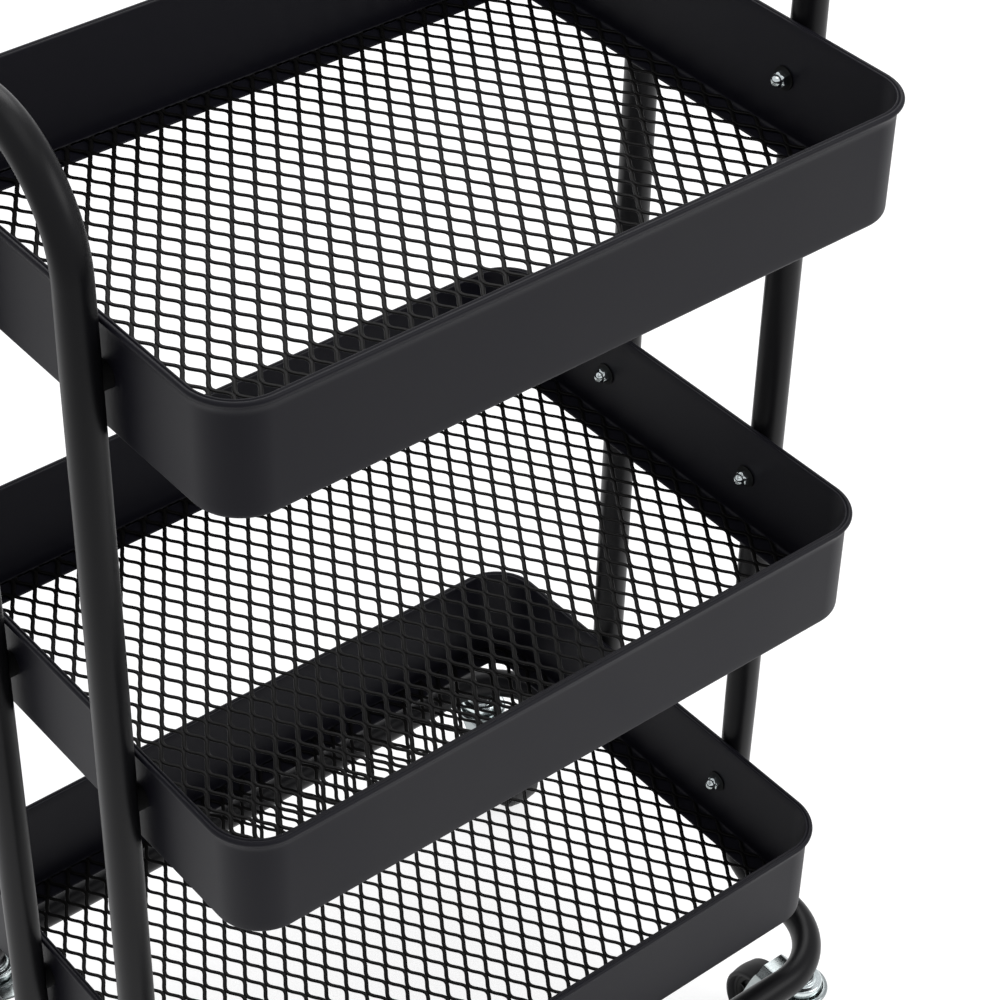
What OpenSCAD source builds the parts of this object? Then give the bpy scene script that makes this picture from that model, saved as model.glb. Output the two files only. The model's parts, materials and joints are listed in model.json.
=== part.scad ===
// Rolling utility cart: three sheet-metal trays with mesh floors, hung between
// two bent-tube end frames that meet in a ring under the lowest tray and run on
// four swivel casters. Millimetres. +X is along the trays, +Y to the back, +Z up.
// The origin is on the floor, under the middle of the cart.

/* [Overall] */
// Length over the two end frames
overall_l = 450; // [430:5:480]
// Depth over the base tubes
overall_d = 340; // [335:5:360]
// Height from the floor to the top of the handles
overall_h = 780; // [770:5:820]

/* [Trays] */
// Depth of a tray over its walls
tray_d = 300; // [285:5:305]
// Height of a tray from its underside to its rim
tray_h = 65; // [55:1:75]
// Outside radius of a tray's upright corners
tray_r = 26; // [24:1:36]
// Thickness of the tray sheet
sheet_t = 1.2; // [1:0.1:1.6]
// How far the rolled hem stands out from the wall
hem_out = 3; // [2.5:0.5:3.5]
// Height of the rolled hem
hem_h = 6; // [5.5:0.5:9]
// Width of the ledge that carries the mesh
ledge_w = 14; // [10:1:16]
// Height of the bottom tray's rim above the floor
bottom_rim_z = 189; // [185:1:200]
// Height of the middle tray's rim above the floor
middle_rim_z = 430; // [400:5:460]
// Height of the top tray's rim above the floor
top_rim_z = 689; // [675:1:695]

/* [Mesh floors] */
// Pitch of the diamonds along the length of the tray
mesh_px = 14.2; // [12:0.1:24]
// Pitch of the diamonds along the depth of the tray
mesh_py = 20.8; // [18:0.1:30]
// Width of one strand of the mesh
strand_w = 2.6; // [2:0.1:3.5]
// Thickness of the mesh sheet
mesh_t = 1.2; // [1:0.1:1.6]

/* [Frame tubes] */
// Outside diameter of the frame tube
tube_d = 19; // [18:0.5:20]
// Wall thickness of the frame tube
tube_t = 1.4; // [1.2:0.1:1.8]
// Spacing of the two legs of one end frame
leg_gap = 120; // [110:5:125]
// Bend radius where a leg turns into the base
foot_r = 40; // [36:1:44]
// Bend radius at the corners of the base
base_r = 45; // [42:1:48]

/* [Fasteners] */
// Thread diameter of the tray bolts
bolt_d = 6; // [5:1:6]
// Width across the flats of the domed bolt heads
bolt_head_af = 8; // [7:0.5:10]
// Depth of the tray bolts below the rim
bolt_drop = 32; // [28:1:36]

/* [Casters] */
// Height of a caster from the floor to the underside of the tube
caster_h = 74.5; // [74.5:0.5:78]
// Diameter of the wheel over its tyre
wheel_d = 50; // [46:1:50]
// Width of the tyre
wheel_w = 20; // [18:1:20]
// Distance from the swivel axis to the axle
trail = 28; // [26:1:30]
// Diameter of the round top of the fork
fork_top_d = 34; // [33:1:38]

/* [Hidden] */
$fn = 64;
tray_l = overall_l - 2*tube_d - 2*hem_out;
leg_x = (overall_l - tube_d)/2;
leg_y = leg_gap/2;
base_y = (overall_d - tube_d)/2;
base_z = caster_h + tube_d/2;
handle_r = leg_y;
handle_z = overall_h - tube_d/2 - handle_r;
bend_r = 3;
mesh_edge = 0.2;
tube_gap = 0.5;
spacer_d = 14;
insert_d = 8.5;
insert_len = 9;
bolt_len = 12;
head_h = 7.5;
hex_h = 3.6;
cap_d = 6.8;
washer_d = 13;
washer_t = 0.8;
joiner_len = 80;
joiner_wall = 1.6;
screw_d = 3.5;
screw_head_d = 7;
screw_x = 22;

caster_angle = 63;
stem_d = 8;
stem_insert_d = 11;
run_gap = 0.05;
plate_t = 2.5;
plate_z = 63;
cheek_t = 2;
cheek_gap = 1.5;
axle_d = 6;
axle_z = wheel_d/2;
bush_d = 9;
hub_d = 18;
rim_r = 19;
ball_d = 4;
ball_count = 11;
ball_circle_d = 18;
cover_d = 26;
hood = 22;

// One row for each caster: its name, the side and end it stands at, and the way
// its wheel trails at rest, in degrees from +X.
CASTERS = [
    ["front_right", 1, -1, 90],
    ["front_left", -1, -1, 76],
    ["back_right", 1, 1, -90],
    ["back_left", -1, 1, -104]
];
TRAYS = [["top", top_rim_z], ["middle", middle_rim_z], ["bottom", bottom_rim_z]];
CASTER_PIECES = ["stem", "race_cover", "fork", "axle_bolt", "axle_nut", "axle_bush", "wheel", "tyre"];

// The point where a line from p touches the circle of radius r round c.
function touch(p, c, r, side) =
    let (v = p - c, a = atan2(v[1], v[0]) + side*acos(r/norm(v))) c + r*[cos(a), sin(a)];

function caster_x(side) = side*(leg_x - base_r + base_r*cos(caster_angle));
function caster_y(end) = end*(base_y - base_r + base_r*sin(caster_angle));

// ---- trays ----

module rounded_rect(l, d, r) {
    square([l - 2*r, d], center = true);
    square([l, d - 2*r], center = true);
    for (x = [-1, 1], y = [-1, 1]) translate([x*(l/2 - r), y*(d/2 - r)]) circle(r);
}

// Sweeps a profile round a rectangle with rounded corners. The profile's x runs
// outwards from the corners' own axes.
module swept_round(l, d, r) {
    for (k = [0:3]) {
        run = (k % 2 == 0 ? d : l) - 2*r;
        off = (k % 2 == 0 ? l : d)/2 - r;
        rotate(90*k) translate([off, 0, 0]) rotate([90, 0, 0])
            linear_extrude(run, center = true) children();
        rotate(90*k) translate([off, run/2, 0]) rotate_extrude(angle = 90) children();
    }
}

// Wall with its rolled hem, the bend at its foot and the ledge under the mesh.
module tray_profile() {
    hem_w = sheet_t + hem_out;
    inner = tray_r - sheet_t;
    translate([inner, bend_r]) square([sheet_t, tray_h - bend_r - hem_h/2]);
    translate([inner, tray_h - hem_h + hem_w/2]) square([hem_w, hem_h - hem_w]);
    for (z = [tray_h - hem_w/2, tray_h - hem_h + hem_w/2])
        translate([inner + hem_w/2, z]) circle(d = hem_w);
    translate([tray_r - bend_r, bend_r]) intersection() {
        difference() { circle(bend_r); circle(bend_r - sheet_t); }
        translate([0, -bend_r]) square(bend_r);
    }
    translate([inner - ledge_w, 0]) square([ledge_w + sheet_t - bend_r, sheet_t]);
}

// Places its children on the bolt axis at each leg, with +X running outwards.
module at_tray_bolts(rim_z) {
    for (side = [0, 1], y = [-1, 1])
        translate([0, y*leg_y, rim_z - bolt_drop]) rotate(180*side) children();
}

module tray(rim_z) {
    color([0.055, 0.055, 0.06]) difference() {
        translate([0, 0, rim_z - tray_h]) swept_round(tray_l, tray_d, tray_r) tray_profile();
        at_tray_bolts(rim_z) translate([tray_l/2, 0, 0]) rotate([0, 90, 0])
            cylinder(d = bolt_d + 0.4, h = 4*sheet_t, center = true);
    }
}

// Diamond openings, kept whole inside the ledge.
module mesh_floor(rim_z) {
    l = tray_l - 2*bend_r - 2*mesh_edge;
    d = tray_d - 2*bend_r - 2*mesh_edge;
    open_l = tray_l - 2*sheet_t - 2*ledge_w;
    open_d = tray_d - 2*sheet_t - 2*ledge_w;
    shrink = 1 - strand_w*norm([mesh_px, mesh_py])/(mesh_px*mesh_py);
    a = shrink*mesh_px/2;
    b = shrink*mesh_py/2;
    nx = floor(open_l/mesh_px);
    ny = floor(open_d/mesh_py);
    color([0.05, 0.05, 0.055]) translate([0, 0, rim_z - tray_h + sheet_t])
        linear_extrude(mesh_t) difference() {
            rounded_rect(l, d, tray_r - bend_r);
            for (i = [-nx:nx], j = [-ny:ny])
                if ((i + j) % 2 == 0 && abs(i)*mesh_px/2 + a < open_l/2 && abs(j)*mesh_py/2 + b < open_d/2)
                    translate([i*mesh_px/2, j*mesh_py/2]) polygon([[a, 0], [0, b], [-a, 0], [0, -b]]);
        }
}

module tray_bolts(rim_z) {
    color([0.75, 0.76, 0.78]) at_tray_bolts(rim_z)
        translate([tray_l/2 - sheet_t - washer_t, 0, 0]) rotate([0, 90, 0]) {
            translate([0, 0, -hex_h]) cylinder(d = bolt_head_af/cos(30), h = hex_h, $fn = 6);
            translate([0, 0, cap_d/2 - head_h]) cylinder(d = cap_d, h = head_h - cap_d/2 - 1);
            translate([0, 0, cap_d/2 - head_h]) sphere(d = cap_d);
            cylinder(d = bolt_d, h = bolt_len + washer_t);
        }
}

// Saddle washers that fill the gap between the wall and the round leg, and the
// flat washers under the bolt heads.
module tray_spacers(rim_z) {
    color([0.03, 0.03, 0.03]) at_tray_bolts(rim_z) difference() {
        union() {
            translate([tray_l/2, 0, 0]) rotate([0, 90, 0]) cylinder(d = spacer_d, h = hem_out + 3);
            translate([tray_l/2 - sheet_t - washer_t, 0, 0]) rotate([0, 90, 0])
                cylinder(d = washer_d, h = washer_t);
        }
        translate([leg_x, 0, 0]) cylinder(d = tube_d, h = 2*spacer_d, center = true);
        translate([tray_l/2 - sheet_t - washer_t - 1, 0, 0]) rotate([0, 90, 0])
            cylinder(d = bolt_d + 0.4, h = 13);
    }
}

// ---- end frames ----

// One end frame's whole run of tube, at +X, as a solid of diameter d: handle,
// two legs, two foot bends, two base corners and the two halves of the base.
module tube_run(d, over) {
    translate([leg_x, 0, handle_z]) rotate([90, 0, 90])
        rotate_extrude(angle = 180) translate([handle_r, 0]) circle(d = d);
    for (y = [-1, 1]) scale([1, y, 1]) {
        translate([leg_x, leg_y, base_z + foot_r])
            cylinder(d = d, h = handle_z - base_z - foot_r);
        translate([leg_x, leg_y + foot_r, base_z + foot_r]) rotate([90, 0, 90])
            rotate(180) rotate_extrude(angle = 90) translate([foot_r, 0]) circle(d = d);
        translate([leg_x, leg_y + foot_r, base_z]) rotate([-90, 0, 0])
            cylinder(d = d, h = base_y - base_r - leg_y - foot_r);
        translate([leg_x - base_r, base_y - base_r, base_z])
            rotate_extrude(angle = 90) translate([base_r, 0]) circle(d = d);
        translate([tube_gap/2 - over, base_y, base_z]) rotate([0, 90, 0])
            cylinder(d = d, h = leg_x - base_r - tube_gap/2 + over);
    }
}

module end_frame() {
    color([0.03, 0.03, 0.035]) difference() {
        tube_run(tube_d, 0);
        tube_run(tube_d - 2*tube_t, 1);
        for (t = TRAYS, y = [-1, 1])
            translate([leg_x - tube_d, y*leg_y, t[1] - bolt_drop]) rotate([0, 90, 0])
                cylinder(d = insert_d, h = tube_d);
        for (y = [-1, 1]) {
            translate([caster_x(1), caster_y(y), caster_h - 1])
                cylinder(d = stem_insert_d, h = tube_d/2);
            translate([screw_x, y*base_y, caster_h - 1]) cylinder(d = screw_d, h = tube_d/2);
        }
    }
}

module leg_thread_inserts() {
    color([0.6, 0.6, 0.6]) for (t = TRAYS) at_tray_bolts(t[1]) difference() {
        intersection() {
            translate([leg_x - tube_d/2, 0, 0]) rotate([0, 90, 0])
                cylinder(d = insert_d, h = insert_len);
            translate([leg_x, 0, 0]) cylinder(d = tube_d, h = 2*insert_d, center = true);
        }
        translate([tray_l/2, 0, 0]) rotate([0, 90, 0]) cylinder(d = bolt_d, h = 2*tube_d);
    }
}

// Sleeve inside the base tubes where the two end frames meet.
module base_joiner(end) {
    d = tube_d - 2*tube_t;
    color([0.5, 0.5, 0.5]) translate([0, end*base_y, base_z]) difference() {
        rotate([0, 90, 0]) cylinder(d = d, h = joiner_len, center = true);
        rotate([0, 90, 0]) cylinder(d = d - 2*joiner_wall, h = joiner_len + 2, center = true);
        for (x = [-1, 1]) translate([x*screw_x, 0, -d]) cylinder(d = screw_d, h = d);
    }
}

// Screws up through the tube and the sleeve, heads underneath.
module base_joiner_screws() {
    color([0.2, 0.2, 0.2]) for (x = [-1, 1], y = [-1, 1]) translate([x*screw_x, y*base_y, 0]) {
        difference() {
            translate([0, 0, caster_h - 2]) cylinder(d = screw_head_d, h = 3);
            translate([0, 0, base_z]) rotate([0, 90, 0]) cylinder(d = tube_d, h = 20, center = true);
            translate([0, 0, caster_h - 3]) cylinder(d = 2.5/cos(30), h = 2, $fn = 6);
        }
        translate([0, 0, caster_h - 0.5]) cylinder(d = screw_d, h = 7);
    }
}

// ---- casters ----

// Puts a caster's own frame at its place: swivel axis on Z, wheel trailing to +X.
module at_caster(c, turned = true) {
    translate([caster_x(c[1]), caster_y(c[2]), 0]) rotate(turned ? c[3] : 0) children();
}

module caster_thread_inserts() {
    color([0.7, 0.7, 0.72]) for (c = CASTERS) at_caster(c, false) difference() {
        union() {
            translate([0, 0, caster_h - 1]) cylinder(d = stem_insert_d, h = 14);
            translate([0, 0, caster_h - 1]) cylinder(d = 15, h = 1);
        }
        translate([0, 0, caster_h - 2]) cylinder(d = stem_d, h = 16);
    }
}

module caster_stem() {
    head_z = plate_z - 0.3 - plate_t;
    color([0.75, 0.76, 0.78]) {
        translate([0, 0, head_z]) cylinder(d = stem_d, h = caster_h + 11 - head_z);
        translate([0, 0, head_z]) cylinder(d = 13, h = plate_t);
    }
}

module caster_race_cover() {
    top = caster_h - 1;
    ball_top = plate_z + plate_t + 0.2 + ball_d;
    skirt_z = plate_z + plate_t + 1;
    color([0.75, 0.76, 0.78]) difference() {
        union() {
            translate([0, 0, skirt_z]) cylinder(d = cover_d, h = ball_top + 2 - skirt_z);
            translate([0, 0, ball_top + 1]) cylinder(d = 15, h = top - ball_top - 1);
        }
        translate([0, 0, skirt_z - 1]) cylinder(d = cover_d - 2.4, h = ball_top - skirt_z + 1);
        translate([0, 0, skirt_z]) cylinder(d = stem_d, h = 20);
    }
}

module caster_race_balls() {
    color([0.8, 0.8, 0.8]) for (c = CASTERS, k = [0:ball_count - 1]) at_caster(c)
        rotate(360*k/ball_count)
            translate([ball_circle_d/2, 0, plate_z + plate_t + 0.2 + ball_d/2]) sphere(d = ball_d);
}

// Pressed fork: a round top plate that runs on over the wheel, with a cheek
// down each side.
module caster_fork() {
    half = wheel_w/2 + cheek_gap;
    reach = sqrt(pow(fork_top_d/2, 2) - pow(half + cheek_t, 2)) - 0.6;
    axle = [trail, axle_z];
    boss = 9;
    back = [-reach*0.6, plate_z + 1];
    front = [hood - 0.5, plate_z + 1];
    color([0.75, 0.76, 0.78]) difference() {
        union() {
            translate([0, 0, plate_z]) linear_extrude(plate_t) {
                circle(d = fork_top_d);
                translate([0, -half - cheek_t - 0.3]) square([hood, 2*(half + cheek_t + 0.3)]);
            }
            for (y = [-1, 1]) translate([0, y*(half + cheek_t/2), 0]) rotate([90, 0, 0])
                linear_extrude(cheek_t, center = true) {
                    polygon([front, back, touch(back, axle, boss, 1), axle, touch(front, axle, boss, -1)]);
                    translate(axle) circle(boss);
                }
        }
        translate([0, 0, plate_z - 1]) cylinder(d = stem_d + 2*run_gap, h = plate_t + 2);
        translate([trail, 0, axle_z]) rotate([90, 0, 0])
            cylinder(d = axle_d, h = 4*wheel_w, center = true);
    }
}

module caster_axle_bolt() {
    face = wheel_w/2 + cheek_gap + cheek_t;
    color([0.7, 0.71, 0.73]) translate([trail, 0, axle_z]) rotate([90, 0, 0]) {
        translate([0, 0, -face - 6]) cylinder(d = axle_d, h = 2*face + 6);
        translate([0, 0, face]) cylinder(d = 10/cos(30), h = 4, $fn = 6);
    }
}

module caster_axle_nut() {
    face = wheel_w/2 + cheek_gap + cheek_t;
    color([0.7, 0.71, 0.73]) translate([trail, face, axle_z]) rotate([-90, 0, 0]) difference() {
        cylinder(d = 10/cos(30), h = 5, $fn = 6);
        translate([0, 0, -1]) cylinder(d = axle_d, h = 7);
    }
}

module caster_axle_bush() {
    color([0.6, 0.6, 0.62]) translate([trail, 0, axle_z]) rotate([90, 0, 0]) difference() {
        cylinder(d = bush_d, h = wheel_w + 2*cheek_gap, center = true);
        cylinder(d = axle_d, h = 2*wheel_w, center = true);
    }
}

module caster_wheel() {
    color([0.02, 0.02, 0.02]) translate([trail, 0, axle_z]) rotate([90, 0, 0])
        rotate_extrude() difference() {
            union() {
                translate([0, -wheel_w/2 - 1]) square([hub_d/2, wheel_w + 2]);
                translate([0, -4]) square([rim_r, 8]);
                translate([rim_r - 3, -wheel_w/2 + 1]) square([3, wheel_w - 2]);
            }
            translate([0, -wheel_w]) square([bush_d/2 + run_gap, 2*wheel_w]);
        }
}

module caster_tyre() {
    shoulder = 4;
    r = wheel_d/2;
    color([0.04, 0.04, 0.04]) translate([trail, 0, axle_z]) rotate([90, 0, 0]) rotate_extrude() {
        translate([rim_r, -wheel_w/2]) square([r - rim_r - shoulder, wheel_w]);
        translate([rim_r, -wheel_w/2 + shoulder]) square([r - rim_r, wheel_w - 2*shoulder]);
        for (z = [-1, 1]) translate([r - shoulder, z*(wheel_w/2 - shoulder)]) circle(shoulder);
    }
}

for (t = TRAYS) {
    tray(t[1]);
    mesh_floor(t[1]);
    tray_bolts(t[1]);
    tray_spacers(t[1]);
}
rotate(180) end_frame();  // left_end_frame
end_frame();  // right_end_frame
leg_thread_inserts();
base_joiner(-1);  // front_base_joiner
base_joiner(1);  // back_base_joiner
base_joiner_screws();
caster_thread_inserts();
caster_race_balls();
for (c = CASTERS) {
    at_caster(c) caster_stem();
    at_caster(c) caster_race_cover();
    at_caster(c) caster_fork();
    at_caster(c) caster_axle_bolt();
    at_caster(c) caster_axle_nut();
    at_caster(c) caster_axle_bush();
    at_caster(c) caster_wheel();
    at_caster(c) caster_tyre();
}
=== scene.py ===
"""Rolling utility cart: sheet-metal trays with expanded-metal floors, hung
between two bent-tube end frames over a tubular base on swivel casters."""

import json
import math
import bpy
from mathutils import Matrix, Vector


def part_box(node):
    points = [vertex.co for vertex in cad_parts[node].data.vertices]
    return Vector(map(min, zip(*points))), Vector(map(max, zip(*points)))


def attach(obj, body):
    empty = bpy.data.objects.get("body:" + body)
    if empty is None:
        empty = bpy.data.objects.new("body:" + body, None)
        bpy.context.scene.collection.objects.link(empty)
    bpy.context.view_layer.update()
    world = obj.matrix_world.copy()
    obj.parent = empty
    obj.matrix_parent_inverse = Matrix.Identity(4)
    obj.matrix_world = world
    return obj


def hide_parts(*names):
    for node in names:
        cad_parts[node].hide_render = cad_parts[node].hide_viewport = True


bl_info = {
    "name": "Rolling Utility Cart",
    "version": (1, 0, 0),
    "blender": (4, 5, 0),
    "location": "View3D > Sidebar > Cart",
    "description": "Builds the cart's trays, mesh floors, frames and casters",
    "category": "Object",
}

import bmesh
import bpy
from bpy.props import FloatProperty, FloatVectorProperty, IntProperty, PointerProperty
from mathutils import Matrix, Vector

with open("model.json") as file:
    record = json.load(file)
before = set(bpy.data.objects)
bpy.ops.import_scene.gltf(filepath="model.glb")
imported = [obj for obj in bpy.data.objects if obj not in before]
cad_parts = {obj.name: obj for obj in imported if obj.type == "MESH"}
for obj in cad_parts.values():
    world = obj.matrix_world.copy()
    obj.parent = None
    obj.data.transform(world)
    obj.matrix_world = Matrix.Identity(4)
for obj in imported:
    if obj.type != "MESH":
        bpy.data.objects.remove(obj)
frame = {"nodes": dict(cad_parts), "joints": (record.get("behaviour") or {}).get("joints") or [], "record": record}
NODES = frame["nodes"]
JOINTS = {j["name"]: j for j in frame["joints"]}
TIERS = ("top", "middle", "bottom")
CORNERS = ("front_right", "front_left", "back_right", "back_left")
ROOT = "cart"
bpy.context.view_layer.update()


# ---------------------------------------------------------------------------
# Sizes and finishes a user would change


def length(name, default, text, **kw):
    return FloatProperty(name=name, description=text, default=default, unit="LENGTH", precision=5, **kw)


def colour(name, default, text):
    return FloatVectorProperty(
        name=name, description=text, default=default, subtype="COLOR", size=3, min=0.0, max=1.0
    )


class TraySettings(bpy.types.PropertyGroup):
    sheet: length("Sheet", 0.0012, "Thickness of the tray sheet")
    corner: length("Corner Radius", 0.026, "Outside radius of the upright corners")
    bend: length("Bend Radius", 0.003, "Outside radius where the wall turns into the ledge")
    ledge: length("Ledge", 0.014, "Width of the ledge under the mesh")
    hem_out: length("Hem Reach", 0.003, "How far the rolled hem stands out from the wall")
    hem_high: length("Hem Height", 0.006, "Height of the rolled hem")
    corner_steps: IntProperty(name="Corner Steps", description="Facets round each corner", default=20)
    paint: colour("Paint", (0.0042, 0.0040, 0.0076), "Colour of the tray powder coat")


class MeshSettings(bpy.types.PropertyGroup):
    pitch_across: length("Pitch Across", 0.0142, "Pitch of the diamonds along the tray")
    pitch_along: length("Pitch Along", 0.0208, "Pitch of the diamonds from front to back")
    strand: length("Strand Width", 0.0024, "Width of one strand")
    sheet: length("Strand Thickness", 0.0010, "Thickness of one strand")
    tilt: FloatProperty(
        name="Tilt", description="How far the strands lean over", default=math.radians(6), subtype="ANGLE"
    )
    paint: colour("Paint", (0.0040, 0.0037, 0.0035), "Colour of the mesh powder coat")


class FrameSettings(bpy.types.PropertyGroup):
    tube: length("Tube", 0.019, "Outside diameter of the frame tube")
    foot: length("Foot Bend", 0.040, "Bend radius where a leg turns into the base")
    base_bend: length("Base Bend", 0.045, "Bend radius at the corners of the base")
    leg_y: length("Leg", 0.060, "Distance of each leg from the middle of the end frame")
    sides: IntProperty(name="Sides", description="Facets round the tube", default=40)
    paint: colour("Paint", (0.0026, 0.0026, 0.0034), "Colour of the frame's powder coat")


class CasterSettings(bpy.types.PropertyGroup):
    trail: length("Trail", 0.028, "Distance from the swivel axis to the axle")
    wheel: length("Wheel", 0.050, "Diameter over the tyre")
    width: length("Width", 0.020, "Width of the tyre")
    zinc: colour("Zinc", (0.84, 0.92, 0.92), "Colour of the plating")
    tyre: colour("Tyre", (0.014, 0.014, 0.015), "Colour of the tyre")
    hub: colour("Wheel Body", (0.0022, 0.0022, 0.0022), "Colour of the wheel body")


class StageSettings(bpy.types.PropertyGroup):
    floor: colour("Floor", (0.42, 0.42, 0.42), "Colour of the studio floor")
    lens: FloatProperty(name="Lens", description="Focal length in millimetres", default=101.737)


GROUPS = {
    "trays": TraySettings,
    "mesh": MeshSettings,
    "frames": FrameSettings,
    "casters": CasterSettings,
    "stage": StageSettings,
}


class CartSettings(bpy.types.PropertyGroup):
    trays: PointerProperty(type=TraySettings)
    mesh: PointerProperty(type=MeshSettings)
    frames: PointerProperty(type=FrameSettings)
    casters: PointerProperty(type=CasterSettings)
    stage: PointerProperty(type=StageSettings)


# ---------------------------------------------------------------------------
# Materials


class Value:
    """A shader socket that adds Math nodes when it is used in an expression."""

    def __init__(self, shader, socket):
        self.shader, self.socket = shader, socket

    def _math(self, operation, *others):
        values = {i: v for i, v in enumerate((self,) + others)}
        return self.shader.node("ShaderNodeMath", {"operation": operation}, values)[0]

    def __add__(self, other):
        return self._math("ADD", other)

    def __sub__(self, other):
        return self._math("SUBTRACT", other)

    def __rsub__(self, other):
        return self.shader.node("ShaderNodeMath", {"operation": "SUBTRACT"}, {0: other, 1: self})[0]

    def __mul__(self, other):
        return self._math("MULTIPLY", other)

    def clamped(self, low, high):
        return self.shader.node("ShaderNodeClamp", {}, {"Value": self, "Min": low, "Max": high})[0]

    __radd__ = __add__
    __rmul__ = __mul__


class Shader:
    """A material's node tree, with one method that adds any node."""

    def __init__(self, name):
        self.material = bpy.data.materials.new(name)
        self.material.use_nodes = True
        self.tree = self.material.node_tree
        self.tree.nodes.clear()
        self.output = self.tree.nodes.new("ShaderNodeOutputMaterial")

    def node(self, kind, settings=None, values=None):
        """Adds a node, sets it up, fills its inputs, and returns its outputs."""
        node = self.tree.nodes.new(kind)
        for key, setting in (settings or {}).items():
            if key == "stops":
                ramp = node.color_ramp
                while len(ramp.elements) < len(setting):
                    ramp.elements.new(1.0)
                for stop, (at, grey) in zip(ramp.elements, setting):
                    stop.position = at
                    stop.color = (grey, grey, grey, 1.0)
            else:
                setattr(node, key, setting)
        for key, value in (values or {}).items():
            if isinstance(value, Value):
                self.tree.links.new(value.socket, node.inputs[key])
            else:
                node.inputs[key].default_value = value
        return [Value(self, s) for s in node.outputs]

    def place(self):
        return self.node("ShaderNodeTexCoord")[3]

    def noise(self, scale, detail=2.0, rough=0.5, stretch=None):
        at = self.place()
        if stretch:
            at = self.node("ShaderNodeMapping", {}, {"Vector": at, "Scale": stretch})[0]
        return self.node(
            "ShaderNodeTexNoise", {}, {"Vector": at, "Scale": scale, "Detail": detail, "Roughness": rough}
        )[0]

    def mix(self, factor, a, b):
        """Mixes two colours."""
        values = {0: factor, 6: a, 7: b}
        return self.node("ShaderNodeMix", {"data_type": "RGBA"}, values)[2]

    def finish(self, **values):
        bsdf = self.node("ShaderNodeBsdfPrincipled", {}, {k.replace("_", " "): v for k, v in values.items()})[0]
        self.tree.links.new(bsdf.socket, self.output.inputs["Surface"])
        return self.material


def rgba(c, k=1.0):
    return (c[0] * k, c[1] * k, c[2] * k, 1.0)


def powder_coat(name, paint, rough=0.48, grain=0.00004, spec=0.5):
    """Fine-textured powder coat: a tight orange peel, faint dust and mottled gloss."""
    s = Shader(name)
    peel = s.noise(2600.0, 3.0, 0.6)
    cloud = s.noise(9.0, 3.0, 0.55)
    speck = s.noise(5200.0, 1.0, 0.5)
    dust = (speck - 0.62).clamped(0.0, 1.0) * 2.2
    base = s.mix((cloud - 0.35).clamped(0.0, 1.0), rgba(paint, 0.86), rgba(paint, 1.25))
    base = s.mix(dust, base, rgba(paint, 2.6))
    bump = s.node(
        "ShaderNodeBump", {}, {"Strength": 0.5, "Distance": grain, "Height": peel + speck * 0.4}
    )[0]
    return s.finish(
        Base_Color=base,
        Roughness=(cloud * 0.12 + peel * 0.08 + (rough - 0.1)).clamped(0.1, 0.9),
        Normal=bump,
        Specular_IOR_Level=spec,
    )


def plating(name, tint, rough=0.16):
    """Bright zinc with faint drawn lines, cloudiness and a few dull spots."""
    s = Shader(name)
    cloud = s.noise(160.0, 4.0, 0.6)
    lines = s.noise(900.0, 2.0, 0.5, (1.0, 1.0, 0.08))
    base = s.mix(cloud, rgba(tint, 0.72), rgba(tint, 1.08))
    bump = s.node("ShaderNodeBump", {}, {"Strength": 0.25, "Distance": 0.00006, "Height": lines + cloud * 0.6})[0]
    return s.finish(
        Base_Color=base,
        Metallic=1.0,
        Roughness=(cloud * 0.16 + lines * 0.06 + (rough - 0.08)).clamped(0.05, 0.7),
        Normal=bump,
    )


def rubber(name, tint, rough=0.55, spec=0.5):
    """Smooth moulded rubber, a little scuffed."""
    s = Shader(name)
    fine = s.noise(1800.0, 3.0, 0.6)
    scuff = s.noise(70.0, 4.0, 0.65)
    base = s.mix((scuff - 0.45).clamped(0.0, 1.0) * 1.6, rgba(tint), rgba(tint, 1.9))
    bump = s.node("ShaderNodeBump", {}, {"Strength": 0.3, "Distance": 0.00005, "Height": fine})[0]
    return s.finish(
        Base_Color=base,
        Roughness=(scuff * 0.2 + (rough - 0.1)).clamped(0.2, 0.95),
        Normal=bump,
        Specular_IOR_Level=spec,
    )


# ---------------------------------------------------------------------------
# Mesh tools


def settings():
    return bpy.context.scene.cart


def new_piece(name, verts, faces, material, smooth=True):
    """Makes a piece from points in metres and gives it its material."""
    mesh = bpy.data.meshes.new(name)
    mesh.from_pydata([tuple(v) for v in verts], [], faces)
    mesh.validate()
    mesh.update()
    if smooth:
        mesh.polygons.foreach_set("use_smooth", [True] * len(mesh.polygons))
    piece = bpy.data.objects.new(name, mesh)
    bpy.context.scene.collection.objects.link(piece)
    mesh.materials.append(material)
    return piece


def sharpen(piece, degrees=32.0):
    """Marks the hard edges, so flat faces stay flat beside rounded ones."""
    mesh = piece.data
    bm = bmesh.new()
    bm.from_mesh(mesh)
    bmesh.ops.remove_doubles(bm, verts=bm.verts, dist=1e-6)
    bmesh.ops.recalc_face_normals(bm, faces=bm.faces)
    for edge in bm.edges:
        if len(edge.link_faces) == 2:
            edge.smooth = edge.calc_face_angle(0.0) < math.radians(degrees)
    for face in bm.faces:
        face.smooth = True
    bm.to_mesh(mesh)
    bm.free()
    return piece


def soften(piece, width, segments=2, limit=32.0):
    """Rounds a piece's hard edges with a narrow bevel and applies it."""
    bevel = piece.modifiers.new("Edges", "BEVEL")
    bevel.width, bevel.segments = width, segments
    bevel.limit_method, bevel.angle_limit = "ANGLE", math.radians(limit)
    bevel.harden_normals = False
    flatten(piece)
    return sharpen(piece, 50.0)


def flatten(piece):
    """Turns a piece's modifiers into plain mesh."""
    graph = bpy.context.evaluated_depsgraph_get()
    mesh = bpy.data.meshes.new_from_object(piece.evaluated_get(graph))
    old = piece.data
    piece.modifiers.clear()
    piece.data = mesh
    mesh.name = piece.name
    bpy.data.meshes.remove(old)
    return piece


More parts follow.
